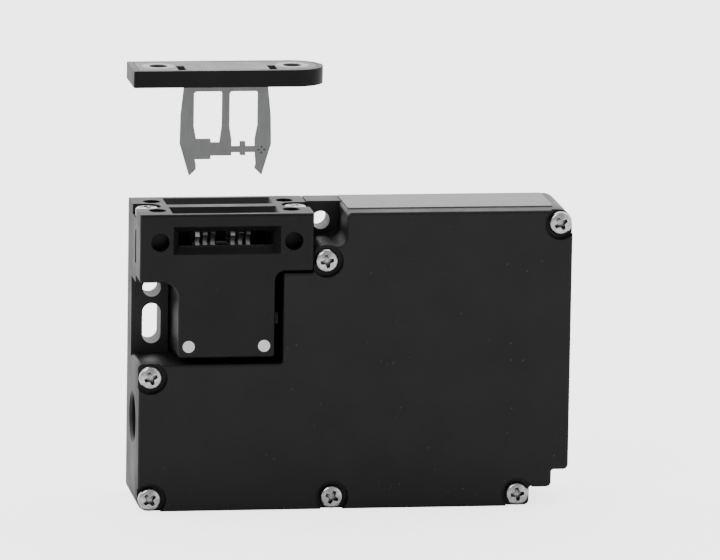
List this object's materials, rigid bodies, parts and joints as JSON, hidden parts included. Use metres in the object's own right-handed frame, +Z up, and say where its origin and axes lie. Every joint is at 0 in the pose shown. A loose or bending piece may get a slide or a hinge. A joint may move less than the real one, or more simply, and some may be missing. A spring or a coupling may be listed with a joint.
{
  "type": "tongue interlock switch",
  "caption": "Flat black guard-locking safety switch with an entry head, sealed cover, fixing flanges and a separate coded steel tongue.",
  "frame": {"origin": "middle of the housing's bottom face, halfway along its 130 mm length and its 30 mm depth", "axes": "+X along the housing's length, away from the head; +Y from the front towards the mounting face; +Z up, against the way the tongue goes in"},
  "size_m": [0.1322, 0.0302, 0.133],
  "materials": {
    "housing_plastic": "fine moulded texture",
    "cover_plastic": "fine moulded texture",
    "head_plastic": "smooth moulded",
    "base_plastic": "satin",
    "seal_rubber": "matte",
    "plated_steel": "zinc plated",
    "pin_white": "satin",
    "plate_foil": "satin foil",
    "yoke_steel": "plated",
    "inner_plastic": "moulded",
    "plunger_plastic": "moulded",
    "coil_copper": "enamelled wire",
    "brass_clamp": "plated",
    "spring_steel": "drawn wire",
    "disc_steel": "stamped",
    "tongue_steel": "satin stamped"
  },
  "bodies": {
    "switch": {"rear_housing": "housing_plastic", "cover_gasket": "seal_rubber", "front_cover": "cover_plastic", "cover_screws": "plated_steel", "rating_plate": "plate_foil", "entry_plug": "head_plastic", "head_housing": "head_plastic", "head_back_cover": "head_plastic", "head_pins": "pin_white", "head_screws": "plated_steel", "solenoid_frame": "yoke_steel", "solenoid_bobbin": "inner_plastic", "solenoid_coil": "coil_copper", "solenoid_core": "yoke_steel", "release_seal": "seal_rubber", "door_contact_block": "inner_plastic", "lock_contact_block": "inner_plastic", "contact_screws": "plated_steel", "terminal_block": "inner_plastic", "terminal_clamps": "brass_clamp", "terminal_screws": "plated_steel", "lock_spring": "spring_steel"},
    "drum": {"drum_axle": "disc_steel", "drum_hub": "inner_plastic", "code_discs": "disc_steel"},
    "rod": {"push_rod": "plunger_plastic", "rod_spring": "spring_steel"},
    "door_plunger": {"door_contact_plunger": "plunger_plastic"},
    "lock": {"armature": "yoke_steel", "lock_bar": "yoke_steel"},
    "lock_plunger": {"lock_contact_plunger": "plunger_plastic"},
    "release": {"release_spindle": "plated_steel", "release_clip": "spring_steel"},
    "tongue": {"tongue_base": "base_plastic", "tongue_steel": "tongue_steel"}
  },
  "joints": [
    {"name": "tongue_insertion", "type": "slide", "parent": "switch", "child": "tongue", "axis": [0, 0, -1], "range_m": [0, 0.0363]},
    {"name": "drum_turn", "type": "hinge", "parent": "switch", "child": "drum", "pos_m": [-0.039, 0, 0.07465], "axis": [1, 0, 0], "range_deg": [0, 45]},
    {"name": "rod_travel", "type": "slide", "parent": "switch", "child": "rod", "axis": [0, 0, -1], "range_m": [0, 0.003], "deforming": ["rod_spring"]},
    {"name": "door_contact_travel", "type": "slide", "parent": "switch", "child": "door_plunger", "axis": [0, 0, -1], "range_m": [0, 0.003]},
    {"name": "lock_bar_travel", "type": "slide", "parent": "switch", "child": "lock", "axis": [-1, 0, 0], "range_m": [0, 0.004]},
    {"name": "lock_contact_travel", "type": "slide", "parent": "switch", "child": "lock_plunger", "axis": [-1, 0, 0], "range_m": [0, 0.004]},
    {"name": "manual_release_turn", "type": "hinge", "parent": "switch", "child": "release", "pos_m": [0.055, 0, 0.056], "axis": [-1, 0, 0], "range_deg": [0, 180]}
  ],
  "couplings": [
    {"joint": "rod_travel", "follows": "drum_turn", "m_per_rad": 0.0038197},
    {"joint": "door_contact_travel", "follows": "drum_turn", "m_per_rad": 0.0038197},
    {"joint": "lock_contact_travel", "follows": "lock_bar_travel", "ratio": 1}
  ]
}
